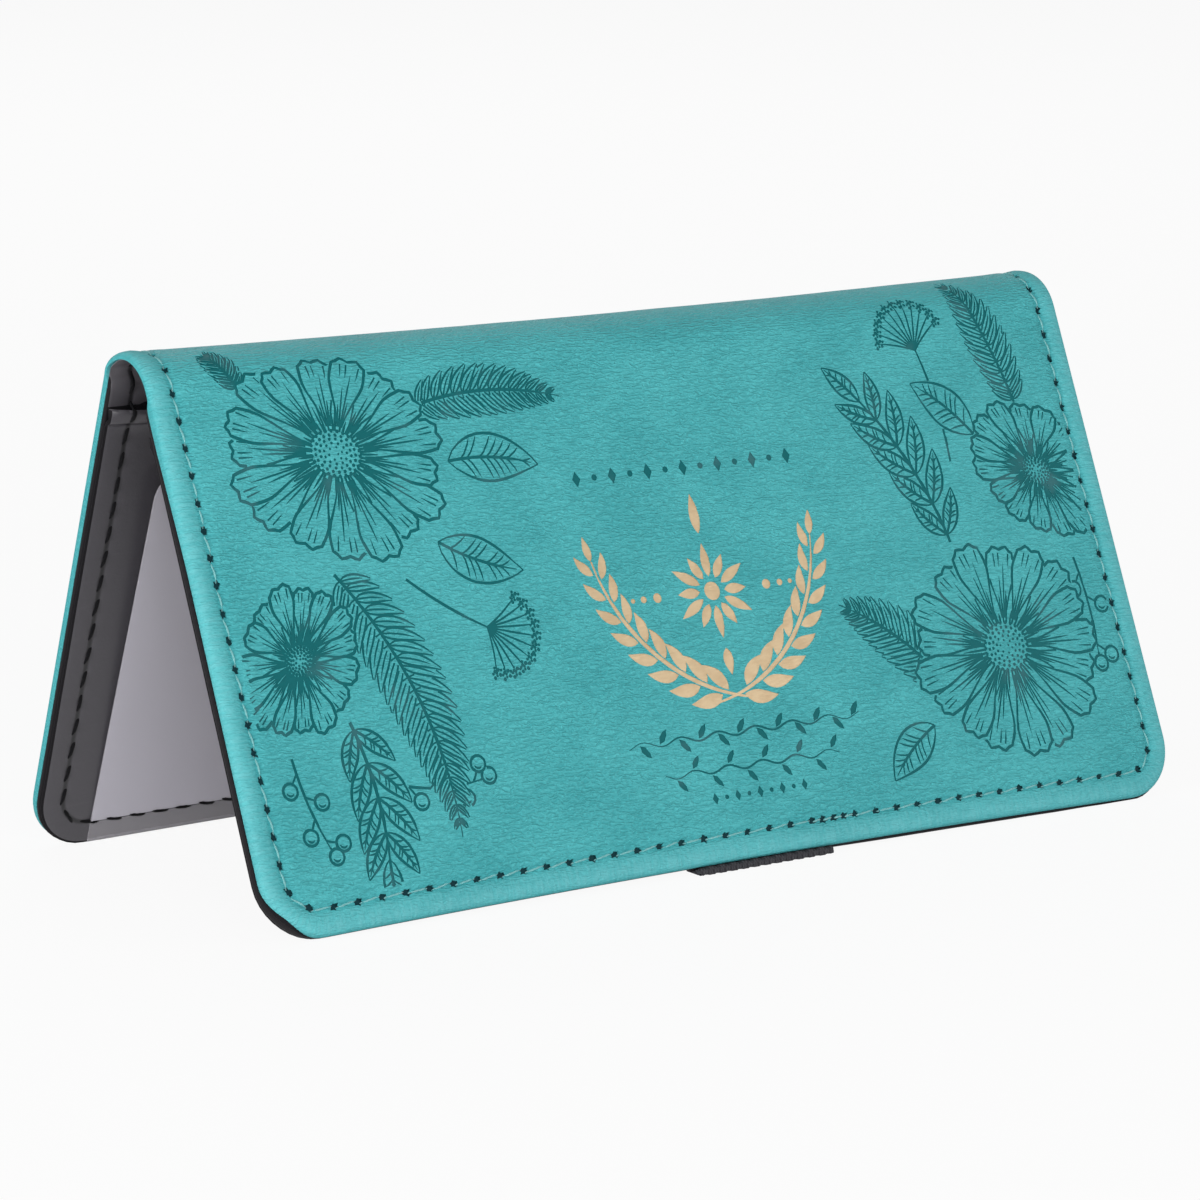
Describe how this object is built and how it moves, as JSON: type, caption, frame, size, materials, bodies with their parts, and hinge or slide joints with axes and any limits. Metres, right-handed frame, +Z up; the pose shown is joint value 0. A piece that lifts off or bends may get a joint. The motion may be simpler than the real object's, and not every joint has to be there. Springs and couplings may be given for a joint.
{
  "type": "checkbook cover",
  "caption": "Folding checkbook cover with stiffened covers, a soft spine, slip pockets, a clear divider flap and an elastic pen loop, standing open like a tent.",
  "frame": {"origin": "on the ground, at the middle of the footprint of the standing cover", "axes": "+X along the spine, -Y the way the front cover faces, +Z up"},
  "size_m": [0.1714, 0.0726, 0.0806],
  "materials": {
    "teal_leather": "pebbled matt coated leather",
    "black_lining": "smooth matt coated leather",
    "padding_foam": "thin foam",
    "board": "pressed grey board",
    "clear_vinyl": "frosted clear vinyl",
    "black_elastic": "ribbed elastic webbing",
    "teal_thread": "twisted polyester thread"
  },
  "bodies": {
    "front_cover": {"front_leather": "teal_leather", "front_padding": "padding_foam", "front_board": "board", "front_lining": "black_lining", "front_pocket": "black_lining", "front_thread": "teal_thread", "pen_loop": "black_elastic"},
    "spine_front": {"spine_front_leather": "teal_leather", "spine_front_lining": "black_lining", "spine_front_thread": "teal_thread"},
    "spine_back": {"spine_back_leather": "teal_leather", "spine_back_lining": "black_lining", "spine_back_thread": "teal_thread"},
    "back_cover": {"back_leather": "teal_leather", "back_padding": "padding_foam", "back_board": "board", "back_lining": "black_lining", "back_pocket": "black_lining", "back_thread": "teal_thread", "flap_margin": "clear_vinyl"},
    "divider_flap": {"divider_flap": "clear_vinyl"}
  },
  "joints": [
    {"name": "front_crease", "type": "hinge", "parent": "front_cover", "child": "spine_front", "pos_m": [0, -0.0026, 0.07556], "axis": [1, 0, 0], "range_deg": [-12.9, 45.67]},
    {"name": "ridge_crease", "type": "hinge", "parent": "spine_front", "child": "spine_back", "pos_m": [0, 0.00279, 0.07982], "axis": [1, 0, 0], "range_deg": [-12.9, 45.67]},
    {"name": "back_crease", "type": "hinge", "parent": "spine_back", "child": "back_cover", "pos_m": [0, 0.00927, 0.07793], "axis": [1, 0, 0], "range_deg": [-12.9, 45.67]},
    {"name": "flap_seam", "type": "hinge", "parent": "back_cover", "child": "divider_flap", "pos_m": [0, 0.03191, 0.00337], "axis": [1, 0, 0], "range_deg": [-1.56, 5.49]}
  ],
  "couplings": [
    {"joint": "front_crease", "follows": "back_crease", "ratio": 1},
    {"joint": "ridge_crease", "follows": "back_crease", "ratio": 1},
    {"joint": "flap_seam", "follows": "back_crease", "ratio": 0.12}
  ]
}
